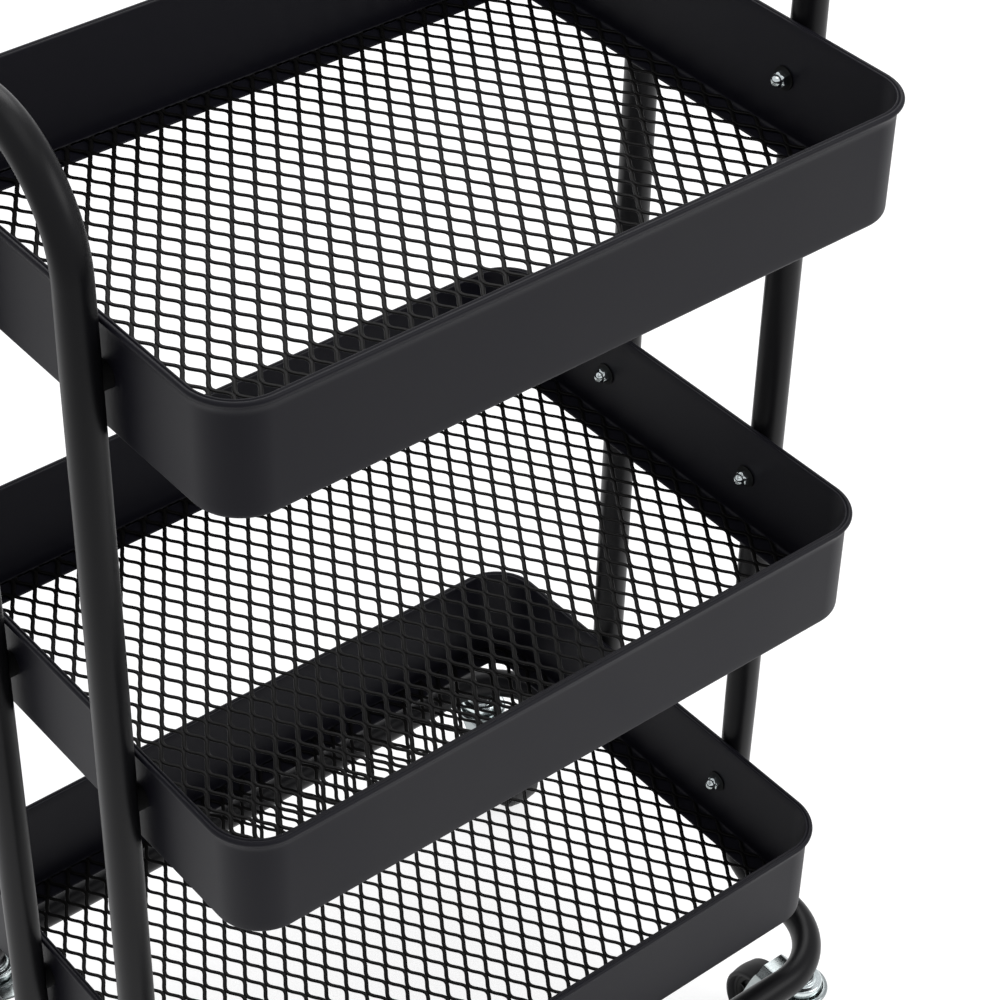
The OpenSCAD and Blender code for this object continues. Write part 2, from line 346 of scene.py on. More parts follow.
def join_parts(name, parts):
    """Joins loose parts, each a (verts, faces) pair, into one pair."""
    verts, faces = [], []
    for v, f in parts:
        k = len(verts)
        verts += [Vector(p) for p in v]
        faces += [tuple(i + k for i in face) for face in f]
    return verts, faces


def arc(centre, radius, start, end, steps):
    """Points of an arc in a plane, angles in degrees."""
    out = []
    for k in range(steps + 1):
        a = math.radians(start + (end - start) * k / steps)
        out.append((centre[0] + radius * math.cos(a), centre[1] + radius * math.sin(a)))
    return out


def lathe(profile, steps=64, closed=True):
    """Turns a closed outline of (radius, height) points round Z."""
    n = len(profile)
    verts, faces = [], []
    for k in range(steps):
        a = 2 * math.pi * k / steps
        verts += [(r * math.cos(a), r * math.sin(a), z) for r, z in profile]
    for k in range(steps):
        j = (k + 1) % steps
        for i in range(n if closed else n - 1):
            m = (i + 1) % n
            faces.append((k * n + i, j * n + i, j * n + m, k * n + m))
    return verts, faces


def extrude(outline, low, high):
    """A prism over a flat outline of (x, y) points."""
    n = len(outline)
    verts = [(x, y, low) for x, y in outline] + [(x, y, high) for x, y in outline]
    faces = [tuple(reversed(range(n))), tuple(range(n, 2 * n))]
    faces += [(i, (i + 1) % n, n + (i + 1) % n, n + i) for i in range(n)]
    return verts, faces


def turned(part, matrix):
    return [matrix @ Vector(v) for v in part[0]], part[1]


def hand_over(piece, body, *nodes, slot=None):
    """Rides a piece on its body and lets it stand for CAD nodes."""
    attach(piece, body)
    if nodes:
        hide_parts(*nodes)
    return piece


# ---------------------------------------------------------------------------
# Trays


def tray_outline(t, top, low):
    """The tray's section as closed (outward, height) points, outward from the corner axis."""
    wall, inside = t.corner, t.corner - t.sheet
    bead, roll = t.hem_out * 0.22, t.hem_out * 0.48
    pts = []
    pts += arc((inside + bead, top - bead * 1.2), bead, 180, 25, 6)
    pts += arc((wall + t.hem_out - roll, top - roll), roll, 150, -35, 12)
    out, down = pts[-1]
    end = top - t.hem_high * 1.5
    for k in range(1, 10):
        share = k / 9
        ease = 1 - (1 - share) ** 2.2
        pts.append((out + (wall - out) * ease, down + (end - down) * share))
    pts.append((wall, end - 0.004))
    pts.append((wall, low + t.bend + 0.004))
    pts += arc((wall - t.bend, low + t.bend), t.bend, 0, -90, 6)
    pts.append((inside - t.ledge + 0.0006, low))
    pts += arc((inside - t.ledge + 0.0006, low + t.sheet / 2), t.sheet / 2, 270, 90, 4)
    pts.append((inside - t.ledge + 0.001, low + t.sheet))
    pts += arc((wall - t.bend, low + t.bend), t.bend - t.sheet, -90, 0, 5)
    pts.append((inside, low + t.bend + 0.004))
    pts.append((inside, top - 0.006))
    clean = []
    for p in pts:
        if not clean or math.dist(p, clean[-1]) > 1e-6:
            clean.append(p)
    return clean


def swept_tray(profile, half_x, half_y, radius, steps):
    """Sweeps a section round a rectangle with rounded corners."""
    rings = []
    for sx, sy, start in ((1, -1, -90), (1, 1, 0), (-1, 1, 90), (-1, -1, 180)):
        cx, cy = sx * (half_x - radius), sy * (half_y - radius)
        for k in range(steps + 1):
            a = math.radians(start + 90 * k / steps)
            rings.append([(cx + r * math.cos(a), cy + r * math.sin(a), z) for r, z in profile])
        # extra stations keep the long flats evenly shaded
    out = []
    for i, ring in enumerate(rings):
        nxt = rings[(i + 1) % len(rings)]
        out.append(ring)
        if (Vector(nxt[0]) - Vector(ring[0])).length > 0.05:
            for k in range(1, 6):
                out.append([tuple(Vector(a).lerp(Vector(b), k / 6)) for a, b in zip(ring, nxt)])
    n, m = len(profile), len(out)
    verts = [p for ring in out for p in ring]
    faces = []
    for i in range(m):
        j = (i + 1) % m
        for k in range(n):
            q = (k + 1) % n
            faces.append((i * n + k, i * n + q, j * n + q, j * n + k))
    return verts, faces


class CART_OT_trays(bpy.types.Operator):
    """Presses the three trays with their rolled hems and ledges"""

    bl_idname = "cart.trays"
    bl_label = "Trays"

    def execute(self, context):
        t = settings().trays
        coat = powder_coat("Tray powder coat", t.paint, spec=0.2)
        for tier in TIERS:
            node = f"{tier}_tray"
            low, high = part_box(node)
            half_x, half_y = high.x - t.hem_out, high.y - t.hem_out
            profile = tray_outline(t, high.z, low.z)
            verts, faces = swept_tray(profile, half_x, half_y, t.corner, t.corner_steps)
            piece = sharpen(new_piece(f"{tier}_tray_shell", verts, faces, coat), 40.0)
            hand_over(piece, ROOT, node, slot="charcoal_paint")
        return {"FINISHED"}


# ---------------------------------------------------------------------------
# Geometry Nodes


class Builder:
    """A Geometry Nodes tree with named inputs, ending in one material."""

    def __init__(self, name, inputs):
        self.tree = bpy.data.node_groups.new(name, "GeometryNodeTree")
        self.sockets = {}
        for label, (kind, value) in inputs.items():
            item = self.tree.interface.new_socket(label, in_out="INPUT", socket_type=kind)
            item.default_value = value
            self.sockets[label] = item.identifier
        self.tree.interface.new_socket("Geometry", in_out="OUTPUT", socket_type="NodeSocketGeometry")
        self.inputs = self.tree.nodes.new("NodeGroupInput")
        self.end = self.tree.nodes.new("NodeGroupOutput")

    def value(self, label):
        return self.inputs.outputs[label]

    def node(self, kind, settings=None, values=None, out=0):
        node = self.tree.nodes.new(kind)
        for key, setting in (settings or {}).items():
            setattr(node, key, setting)
        for key, v in (values or {}).items():
            if isinstance(v, bpy.types.NodeSocket):
                self.tree.links.new(v, node.inputs[key])
            else:
                node.inputs[key].default_value = v
        return node.outputs[out]

    def maths(self, operation, *values):
        return self.node("ShaderNodeMath", {"operation": operation}, dict(enumerate(values)))

    def vector(self, operation, *values, out=0):
        return self.node("ShaderNodeVectorMath", {"operation": operation}, dict(enumerate(values)), out)

    def close(self, geometry, material):
        real = self.node("GeometryNodeRealizeInstances", {}, {0: geometry})
        made = self.node("GeometryNodeSetMaterial", {}, {"Geometry": real, "Material": material})
        self.tree.links.new(made, self.end.inputs[0])
        return self.tree

    def run(self, name, **values):
        """Runs the tree on an empty mesh and keeps the result as plain mesh."""
        host = bpy.data.objects.new(name, bpy.data.meshes.new(name))
        bpy.context.scene.collection.objects.link(host)
        mod = host.modifiers.new("Build", "NODES")
        mod.node_group = self.tree
        for label, v in values.items():
            mod[self.sockets[label]] = v
        return flatten(host)


def expanded_metal(material):
    """Wavy strands side by side, each leaning over, cut off at the sheet's rounded outline."""
    b = Builder(
        "Expanded metal",
        {
            "Across": ("NodeSocketFloat", 0.0142),
            "Along": ("NodeSocketFloat", 0.0208),
            "Strand": ("NodeSocketFloat", 0.002),
            "Sheet": ("NodeSocketFloat", 0.0009),
            "Tilt": ("NodeSocketFloat", -0.3),
            "Half X": ("NodeSocketFloat", 0.2),
            "Half Y": ("NodeSocketFloat", 0.147),
            "Corner": ("NodeSocketFloat", 0.023),
            "Height": ("NodeSocketFloat", 0.0),
            "Strands": ("NodeSocketInt", 57),
            "Periods": ("NodeSocketInt", 15),
        },
    )
    v = b.value
    steps = 12
    count = b.maths("ADD", b.maths("MULTIPLY", v("Periods"), float(steps)), 1.0)
    span = b.maths("MULTIPLY", v("Along"), v("Periods"))
    half = b.maths("MULTIPLY", span, 0.5)
    start = b.node("ShaderNodeCombineXYZ", {}, {1: b.maths("MULTIPLY", half, -1.0)})
    stop = b.node("ShaderNodeCombineXYZ", {}, {1: half})
    line = b.node("GeometryNodeCurvePrimitiveLine", {}, {"Start": start, "End": stop})
    line = b.node("GeometryNodeResampleCurve", {}, {"Curve": line, "Count": count})
    # the wave: straight flanks with rounded turns
    where = b.node("ShaderNodeSeparateXYZ", {}, {0: b.node("GeometryNodeInputPosition")}, out=1)
    turn = b.maths("MULTIPLY", b.maths("DIVIDE", where, v("Along")), 2 * math.pi)
    wave = b.maths("COSINE", turn)
    third = b.maths("COSINE", b.maths("MULTIPLY", turn, 3.0))
    shape = b.maths("ADD", b.maths("MULTIPLY", wave, 0.99), b.maths("MULTIPLY", third, 0.01))
    reach = b.maths(
        "MULTIPLY",
        b.maths("SUBTRACT", b.maths("MULTIPLY", v("Across"), 0.5), b.maths("MULTIPLY", v("Strand"), 0.86)),
        0.5,
    )
    slope = b.maths("MULTIPLY", b.maths("SINE", v("Tilt")), b.maths("MULTIPLY", v("Strand"), 0.7))
    shift = b.node(
        "ShaderNodeCombineXYZ", {}, {0: b.maths("MULTIPLY", shape, reach), 2: b.maths("MULTIPLY", shape, slope)}
    )
    line = b.node("GeometryNodeSetPosition", {}, {"Geometry": line, "Offset": shift})
    line = b.node("GeometryNodeSetCurveNormal", {"mode": "Z_UP"}, {"Curve": line})
    section = b.node("GeometryNodeCurvePrimitiveQuadrilateral", {}, {"Width": v("Strand"), "Height": v("Sheet")})
    section = b.node("GeometryNodeFilletCurve", {}, {"Curve": section, "Radius": b.maths("MULTIPLY", v("Sheet"), 0.3)})
    lean = b.node("ShaderNodeCombineXYZ", {}, {2: v("Tilt")})
    section = b.node("GeometryNodeTransform", {}, {"Geometry": section, "Rotation": lean})
    strand = b.node("GeometryNodeCurveToMesh", {}, {"Curve": line, "Profile Curve": section, "Fill Caps": True})
    # one row of strands, every other one half a pitch along
    row = b.node("GeometryNodeMeshLine", {}, {"Count": v("Strands")})
    index = b.node("GeometryNodeInputIndex")
    middle = b.maths("MULTIPLY", b.maths("SUBTRACT", v("Strands"), 1.0), 0.5)
    place_x = b.maths(
        "MULTIPLY", b.maths("SUBTRACT", index, middle), b.maths("MULTIPLY", v("Across"), 0.5)
    )
    odd = b.maths("MODULO", index, 2.0)
    place_y = b.maths("MULTIPLY", odd, b.maths("MULTIPLY", v("Along"), 0.5))
    spot = b.node("ShaderNodeCombineXYZ", {}, {0: place_x, 1: place_y})
    row = b.node("GeometryNodeSetPosition", {}, {"Geometry": row, "Position": spot})
    many = b.node("GeometryNodeInstanceOnPoints", {}, {"Points": row, "Instance": strand})
    many = b.node("GeometryNodeRealizeInstances", {}, {0: many})
    # cut to the outline
    here = b.node("GeometryNodeInputPosition")
    flat = b.vector("MULTIPLY", here, (1.0, 1.0, 0.0))
    core = b.node(
        "ShaderNodeCombineXYZ",
        {},
        {0: b.maths("SUBTRACT", v("Half X"), v("Corner")), 1: b.maths("SUBTRACT", v("Half Y"), v("Corner"))},
    )
    size = b.vector("ABSOLUTE", flat)
    over = b.vector("MAXIMUM", b.vector("SUBTRACT", size, core), (0.0, 0.0, 0.0))
    far = b.vector("LENGTH", over, out=1)
    keep = b.maths("MINIMUM", b.maths("DIVIDE", v("Corner"), b.maths("MAXIMUM", far, 1e-6)), 1.0)
    over = b.node("ShaderNodeVectorMath", {"operation": "SCALE"}, {0: over, "Scale": keep})
    inner = b.vector("MINIMUM", size, core)
    lie = b.vector("MULTIPLY", b.vector("ADD", inner, over), b.vector("SIGN", flat))
    up = b.node("ShaderNodeSeparateXYZ", {}, {0: here}, out=2)
    lift = b.node("ShaderNodeCombineXYZ", {}, {2: b.maths("ADD", up, v("Height"))})
    placed = b.vector("ADD", lie, lift)
    cut = b.node("GeometryNodeSetPosition", {}, {"Geometry": many, "Position": placed})
    # drop the strands that fall wholly outside
    outside = b.node("FunctionNodeCompare", {"operation": "GREATER_THAN"}, {0: far, 1: b.maths("ADD", v("Corner"), v("Across"))})
    cut = b.node("GeometryNodeDeleteGeometry", {"domain": "FACE"}, {"Geometry": cut, "Selection": outside})
    return b, b.close(cut, material)


class CART_OT_mesh_floors(bpy.types.Operator):
    """Lays an expanded-metal floor in each tray"""

    bl_idname = "cart.mesh_floors"
    bl_label = "Mesh Floors"

    def execute(self, context):
        m, t = settings().mesh, settings().trays
        coat = powder_coat("Mesh powder coat", m.paint, rough=0.42, grain=0.00003, spec=0.10)
        build, _ = expanded_metal(coat)
        for tier in TIERS:
            node = f"{tier}_mesh_floor"
            low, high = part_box(node)
            deep = m.strand * math.sin(abs(m.tilt)) * 1.2 + m.sheet * math.cos(m.tilt) / 2
            piece = build.run(
                f"{tier}_mesh",
                **{
                    "Across": m.pitch_across,
                    "Along": m.pitch_along,
                    "Strand": m.strand,
                    "Sheet": m.sheet,
                    "Tilt": m.tilt,
                    "Half X": high.x + 0.0008,
                    "Half Y": high.y + 0.0008,
                    "Corner": t.corner - t.bend + 0.0008,
                    "Height": low.z + deep,
                },
            )
            hand_over(piece, ROOT, node, slot="charcoal_paint")
        return {"FINISHED"}


# ---------------------------------------------------------------------------
# End frames


def tube_path(f, low, high, side):
    """Centre line of one end frame: base, corner, foot, leg, handle and back down again."""
    r = f.tube / 2
    x = high.x - r if side > 0 else low.x + r
    base_y, base_z, top_z = high.y - r, low.z + r, high.z - r
    mid_x = low.x if side > 0 else high.x
    arch_z = top_z - f.leg_y
    half = [Vector((mid_x, -base_y, base_z))]
    half += [Vector((mid_x + (x - side * f.base_bend - mid_x) * k / 6, -base_y, base_z)) for k in range(1, 6)]
    cx, cy = x - side * f.base_bend, -base_y + f.base_bend
    for px, py in arc((0, 0), f.base_bend, -90, 0, 20):
        half.append(Vector((cx + side * px, cy + py, base_z)))
    foot_y = -f.leg_y - f.foot
    for py, pz in arc((foot_y, base_z + f.foot), f.foot, -90, 0, 18):
        half.append(Vector((x, py, pz)))
    straight = [Vector((x, -f.leg_y, base_z + f.foot + (arch_z - base_z - f.foot) * k / 12)) for k in range(1, 12)]
    half += straight
    arch = [Vector((x, py, pz)) for py, pz in arc((0, arch_z), f.leg_y, 180, 0, 48)]
    back = [Vector((p.x, -p.y, p.z)) for p in reversed(half)]
    return half + arch + back


def swept_tube(path, radius, sides, squash=0.07):
    """A round tube along a path, a little flattened in its bends as drawn tube is."""
    clean = [path[0]]
    for p in path[1:]:
        if (p - clean[-1]).length > 1e-5:
            clean.append(p)
    n = len(clean)
    tangents = [
        ((clean[min(i + 1, n - 1)] - clean[i]).normalized() + (clean[i] - clean[max(i - 1, 0)]).normalized()).normalized()
        for i in range(n)
    ]
    normal = tangents[0].orthogonal().normalized()
    verts, faces = [], []
    bends = []
    for i in range(n):
        turn = tangents[min(i + 1, n - 1)] - tangents[max(i - 1, 0)]
        bends.append(turn.normalized() if turn.length > 0.02 else None)

    def ring(centre, normal, tangent, r, bend=None):
        across = tangent.cross(normal)
        for k in range(sides):
            a = 2 * math.pi * k / sides
            off = (normal * math.cos(a) + across * math.sin(a)) * r
            if bend:
                off -= bend * off.dot(bend) * squash
            verts.append(centre + off)

    stations = []
    for i, (p, t) in enumerate(zip(clean, tangents)):
        if i:
            normal = (normal - t * normal.dot(t)).normalized()
        if i == 0:
            stations += [(p, normal, t, radius - 0.0004), (p + t * 0.0004, normal, t, radius)]
        elif i == n - 1:
            stations += [(p - t * 0.0004, normal, t, radius), (p, normal, t, radius - 0.0004)]
        else:
            stations.append((p, normal, t, radius, bends[i]))
    for s in stations:
        ring(*s)
    for i in range(len(stations) - 1):
        for k in range(sides):
            j = (k + 1) % sides
            faces.append((i * sides + k, i * sides + j, (i + 1) * sides + j, (i + 1) * sides + k))
    last = (len(stations) - 1) * sides
    faces.append(tuple(reversed(range(sides))))
    faces.append(tuple(range(last, last + sides)))
    return verts, faces


class CART_OT_end_frames(bpy.types.Operator):
    """Bends the two end frames with their handles and the base"""

    bl_idname = "cart.end_frames"
    bl_label = "End Frames"

    def execute(self, context):
        f = settings().frames
        coat = powder_coat("Frame powder coat", f.paint, rough=0.36, grain=0.00003, spec=0.2)
        for name, side in (("right", 1), ("left", -1)):
            low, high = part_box(f"{name}_end_frame")
            verts, faces = swept_tube(tube_path(f, low, high, side), f.tube / 2, f.sides)
            piece = sharpen(new_piece(f"{name}_end_tube", verts, faces, coat), 40.0)
            hand_over(piece, ROOT, f"{name}_end_frame", slot="black_paint")
        return {"FINISHED"}


# ---------------------------------------------------------------------------
# Fasteners


def cap_bolt(flats, hex_high, cap, high, shank):
    """A hex head with a polished dome, its axis along +Z, underside at zero."""
    corner = flats / math.cos(math.radians(30)) / 2
    steps = 48
    loops = []

    def ring(make):
        loops.append([Vector(make(2 * math.pi * k / steps)) for k in range(steps)])

    def hexed(a, flat):
        sector = (math.degrees(a) % 60) - 30
        return flat / 2 / math.cos(math.radians(sector))

    def flat_ring(shrink, z):
        ring(lambda a: (hexed(a, flats * shrink) * math.cos(a), hexed(a, flats * shrink) * math.sin(a), z))

    flat_ring(0.97, 0.0)
    flat_ring(1.0, 0.00012)
    for k in range(5):
        rise = hex_high - 0.0009 + 0.0009 * k / 4
        bound = corner - (corner - flats * 0.46) * (k / 4) ** 1.5

        def chamfer(a, rise=rise, bound=bound):
            r = min(hexed(a, flats), bound)
            return (r * math.cos(a), r * math.sin(a), rise)

        ring(chamfer)
    r = cap / 2
    for radius, z in [(r + 0.0003, hex_high), (r, hex_high + 0.0003)] + [
        (r * math.cos(math.radians(d)), high - r + r * math.sin(math.radians(d))) for d in range(0, 90, 9)
    ]:
        ring(lambda a, radius=radius, z=z: (radius * math.cos(a), radius * math.sin(a), z))
    verts = [v for loop in loops for v in loop]
    faces = []
    for i in range(len(loops) - 1):
        for k in range(steps):
            j = (k + 1) % steps
            faces.append((i * steps + k, i * steps + j, (i + 1) * steps + j, (i + 1) * steps + k))
    last = (len(loops) - 1) * steps
    faces.append(tuple(reversed(range(steps))))
    faces.append(tuple(range(last, last + steps)))
    pin = lathe([(0.0, 0.0005), (0.003, 0.0005), (0.003, 0.0005 - shank), (0.0026, -shank), (0.0, -shank)], 24, False)
    return join_parts("bolt", [(verts, faces), pin])


class CART_OT_tray_bolts(bpy.types.Operator):
    """Puts the domed socket bolts through the trays' end walls"""

    bl_idname = "cart.tray_bolts"
    bl_label = "Tray Bolts"

    def execute(self, context):
        t = settings().trays
        zinc = plating("Bolt plating", settings().casters.zinc, rough=0.06)
        bolt = cap_bolt(0.008, 0.0036, 0.0068, 0.0075, 0.0128)
        part = new_piece("bolt_pattern", *turned(bolt, Matrix.Rotation(math.radians(-90), 4, "Y")), zinc)
        sharpen(part, 35.0)
        b = Builder("Bolts", {"Part": ("NodeSocketObject", None), "Wall": ("NodeSocketFloat", 0.2), "Leg": ("NodeSocketFloat", 0.06), "High": ("NodeSocketFloat", 0.0), "Middle": ("NodeSocketFloat", 0.0), "Low": ("NodeSocketFloat", 0.0)})
        info = b.node("GeometryNodeObjectInfo", {}, {"Object": b.value("Part")}, out=4)
        grid = b.node("GeometryNodeMeshLine", {}, {"Count": 12})
        index = b.node("GeometryNodeInputIndex")
        side = b.maths("SUBTRACT", b.maths("MULTIPLY", b.maths("MODULO", index, 2.0), 2.0), 1.0)
        end = b.maths("SUBTRACT", b.maths("MULTIPLY", b.maths("MODULO", b.maths("FLOOR", b.maths("DIVIDE", index, 2.0)), 2.0), 2.0), 1.0)
        tier = b.maths("FLOOR", b.maths("DIVIDE", index, 4.0))
        is_high = b.maths("COMPARE", tier, 0.0, 0.1)
        is_mid = b.maths("COMPARE", tier, 1.0, 0.1)
        is_low = b.maths("COMPARE", tier, 2.0, 0.1)
        z = b.maths("ADD", b.maths("MULTIPLY", is_high, b.value("High")), b.maths("ADD", b.maths("MULTIPLY", is_mid, b.value("Middle")), b.maths("MULTIPLY", is_low, b.value("Low"))))
        at = b.node("ShaderNodeCombineXYZ", {}, {0: b.maths("MULTIPLY", side, b.value("Wall")), 1: b.maths("MULTIPLY", end, b.value("Leg")), 2: z})
        grid = b.node("GeometryNodeSetPosition", {}, {"Geometry": grid, "Position": at})
        half_turn = b.maths("MULTIPLY", b.maths("SUBTRACT", 1.0, side), math.pi / 2)
        turn = b.node("ShaderNodeCombineXYZ", {}, {0: b.maths("MULTIPLY", index, 0.83), 2: half_turn})
        many = b.node("GeometryNodeInstanceOnPoints", {}, {"Points": grid, "Instance": info, "Rotation": turn})
        b.close(many, zinc)
        boxes = [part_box(f"{tier}_tray_bolts") for tier in TIERS]
        low, high = boxes[0]
        piece = b.run(
            "tray_bolt_heads",
            Part=part,
            Wall=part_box("top_tray")[1].x - t.hem_out - t.sheet - 0.0008,
            Leg=settings().frames.leg_y,
            High=(boxes[0][0].z + boxes[0][1].z) / 2,
            Middle=(boxes[1][0].z + boxes[1][1].z) / 2,
            Low=(boxes[2][0].z + boxes[2][1].z) / 2,
        )
        bpy.data.objects.remove(part)
        hand_over(piece, ROOT, *(f"{tier}_tray_bolts" for tier in TIERS), slot="bright_zinc")
        return {"FINISHED"}


class CART_OT_small_parts(bpy.types.Operator):
    """Finishes the spacers, joiners, inserts and screws that keep their own shape"""

    bl_idname = "cart.small_parts"
    bl_label = "Small Parts"

    def execute(self, context):
        c = settings().casters
        zinc = plating("Fastener plating", c.zinc, rough=0.22)
        steel = plating("Plain steel", (0.42, 0.42, 0.43), rough=0.32)
        plastic = rubber("Black plastic", (0.004, 0.004, 0.004), 0.5, 0.12)
        finishes = {"bright_zinc": zinc, "plain_steel": steel, "black_plastic": plastic}
        slots = {s["node"]: s["material_slot"] for s in frame["record"]["subparts"]}
        for name, node in NODES.items():
            if slots[name] in finishes:
                node.data.materials.clear()
                node.data.materials.append(finishes[slots[name]])
        return {"FINISHED"}


# ---------------------------------------------------------------------------
# Casters


def pressed_fork(c, top_z, thick):
    """The fork's sheet: a flat top over the wheel, sloping shoulders and two cheeks down to the axle."""
    half, axle_z, boss = c.width / 2 + 0.0015 + thick, c.wheel / 2, 0.009
    side = [(0.0, top_z), (0.004, top_z), (0.0068, top_z), (0.0076, top_z - 0.0002), (0.0083, top_z - 0.0006)]
    side += [(half - 0.0020, top_z - 0.0042), (half - 0.0011, top_z - 0.0052), (half - 0.0004, top_z - 0.0064)]
    side += [(half, top_z - 0.008)]
    low = axle_z - boss
    marks = [0.055, 0.050, 0.045, 0.040, 0.036, 0.033, 0.031, 0.029, 0.027, 0.025, 0.023, 0.021, 0.019]
    side += [(half, z) for z in marks if z < top_z - 0.009] + [(half, low + 0.0009), (half, low + 0.0003)]
    outer = [(-y, z) for y, z in reversed(side)] + side[1:]

    def edges(z):
        """The sheet's two edges at one height: straight down to the boss, then round it."""
        share = min(max((top_z - 0.004 - z) / (top_z - 0.004 - axle_z), 0.0), 1.0)
        front = -0.006 + (c.trail - boss + 0.006) * share ** 0.94
        back = 0.0245 + (c.trail + boss - 0.0245) * share ** 0.85
        if z < axle_z:
            reach = math.sqrt(max(boss * boss - (axle_z - z) ** 2, 0.0))
            front, back = c.trail - reach, c.trail + reach
        return front, back

    cols = 10
    n = cols + 1
    verts, faces = [], []
    for layer in (0, 1):
        for i, (y, z) in enumerate(outer):
            a, b = outer[max(i - 1, 0)], outer[min(i + 1, len(outer) - 1)]
            run = Vector((b[0] - a[0], b[1] - a[1])).normalized()
            inward = Vector((run.y, -run.x)) * thick * layer
            front, back = edges(z)
            for k in range(n):
                verts.append(Vector((front + (back - front) * k / cols, y + inward.x, z + inward.y)))
    rows = len(outer)
    size = rows * n
    for layer in (0, 1):
        for i in range(rows - 1):
            for k in range(cols):
                a = layer * size + i * n + k
                quad = (a, a + 1, a + 1 + n, a + n)
                faces.append(quad if layer else tuple(reversed(quad)))
    rim = list(range(n)) + [i * n + cols for i in range(1, rows)]
    rim += [(rows - 1) * n + k for k in range(cols - 1, -1, -1)] + [i * n for i in range(rows - 2, 0, -1)]
    for a, b in zip(rim, rim[1:] + rim[:1]):
        faces.append((a, b, b + size, a + size))
    return verts, faces


class CART_OT_casters(bpy.types.Operator):
    """Builds the four casters: fork, bearing cup, wheel and tyre"""

    bl_idname = "cart.casters"
    bl_label = "Casters"

    def execute(self, context):
        c = settings().casters
        zinc = plating("Cup plating", c.zinc, rough=0.14)
        # The forks get a half-bright copy of the zinc: painted shade under the cart, where the glowing floor casts
        # none.
        shaded_zinc = plating("Pressed plating", [0.5 * v for v in c.zinc], rough=0.2)
        tyre_mat = rubber("Tyre rubber", c.tyre, 0.55, 0.3)
        hub_mat = rubber("Wheel plastic", c.hub, 0.42, 0.12)
        for name in CORNERS:
            stem = Vector(JOINTS[f"{name}_swivel_turn"]["pos_m"])
            axle = Vector(JOINTS[f"{name}_wheel_roll"]["pos_m"])
            yaw = math.atan2(axle.y - stem.y, axle.x - stem.x)
            place = Matrix.Translation((stem.x, stem.y, 0)) @ Matrix.Rotation(yaw, 4, "Z")
            self.bearing(name, place, zinc)
            self.fork(name, place, shaded_zinc)
            self.wheel(name, place, c, tyre_mat, hub_mat)
        return {"FINISHED"}

    def bearing(self, name, place, zinc):
        low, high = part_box(f"{name}_caster_race_cover")
        r = (high.x - low.x) / 2
        top, bottom = high.z, low.z
        outline = [(0.0041, bottom + 0.0032), (r - 0.0012, bottom + 0.0032), (r - 0.0012, bottom)]
        outline += [(r - 0.0003, bottom), (r, bottom + 0.0003)]
        outline += arc((r - 0.0016, bottom + 0.0036), 0.0016, 0, 90, 5)
        outline += [(0.0098, bottom + 0.0052)] + arc((0.0098, bottom + 0.0058), 0.0006, 270, 200, 3)
        outline += [(0.0088, top - 0.0008)] + arc((0.0082, top - 0.0006), 0.0006, 0, 90, 3)
        outline += [(0.0041, top)]
        part = turned(lathe(outline, 72), place)
        piece = sharpen(new_piece(f"{name}_bearing_cup", *part, zinc), 35.0)
        hand_over(piece, ROOT, f"{name}_caster_race_cover", slot="bright_zinc")

    def fork(self, name, place, zinc):
        c = settings().casters
        node = f"{name}_caster_fork"
        low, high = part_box(node)
        top_z, top_t, r = high.z, 0.0025, 0.017
        outline = [(0.00405, top_z - top_t), (r - 0.0012, top_z - top_t)]
        outline += arc((r - 0.00125, top_z - 0.00125), 0.00125, -90, 90, 8)
        outline += [(0.0142, top_z), (0.0136, top_z - 0.0008), (0.0128, top_z - 0.0010), (0.0080, top_z - 0.0010)]
        outline += [(0.0072, top_z - 0.0004), (0.00405, top_z - 0.0004)]
        # The plating passed in here is the half-bright zinc, which is painted shade.
        parts = [lathe(outline, 72), pressed_fork(c, top_z - 0.0006, 0.0018)]
        part = turned(join_parts("fork", parts), place)
        piece = sharpen(new_piece(f"{name}_fork_pressing", *part, zinc), 30.0)
        hand_over(piece, f"{name}_swivel", node, slot="bright_zinc")

    def wheel(self, name, place, c, tyre_mat, hub_mat):
        r, w, rim = c.wheel / 2, c.width / 2, 0.019
        lay = place @ Matrix.Translation((c.trail, 0, r)) @ Matrix.Rotation(math.radians(90), 4, "X")
        crown = [(rim, -w + 0.0046), (r - 0.0044, -w + 0.0044), (r - 0.0036, -w + 0.0006), (r - 0.0032, -w)]
        crown += arc((r - 0.0030, -w + 0.0022), 0.0022, -90, -20, 6)
        side = crown[-1]
        mid = [(r - 0.0010 * (abs(k) / 5) ** 2, (side[1] * -1) * k / 5 * 0.86) for k in range(-4, 5)]
        crown += mid + [(x, -z) for x, z in reversed(crown)]
        piece = sharpen(new_piece(f"{name}_tyre_tread", *turned(lathe(crown, 96), lay), tyre_mat), 40.0)
        hand_over(piece, f"{name}_wheel", f"{name}_caster_tyre", slot="tyre_rubber")
        hub = [(0.00455, -0.011), (0.0082, -0.011), (0.009, -0.0102), (0.0092, -0.0042)]
        hub += [(0.0150, -0.0036), (0.0160, -0.0052), (0.0166, -0.0056), (rim - 0.0002, -0.0056)]
        outline = hub + [(x, -z) for x, z in reversed(hub)]
        parts = [lathe(outline, 72)]
        for k in range(6):
            a = math.radians(60 * k + 15)
            rib = extrude([(0.0088, -0.0007), (0.0160, -0.0007), (0.0160, 0.0007), (0.0088, 0.0007)], -0.0052, 0.0052)
            parts.append(turned(rib, Matrix.Rotation(a, 4, "Z")))
        piece = sharpen(new_piece(f"{name}_wheel_body", *turned(join_parts("wheel", parts), lay), hub_mat), 35.0)
        hand_over(piece, f"{name}_wheel", f"{name}_caster_wheel", slot="black_plastic")


# ---------------------------------------------------------------------------
# Stage


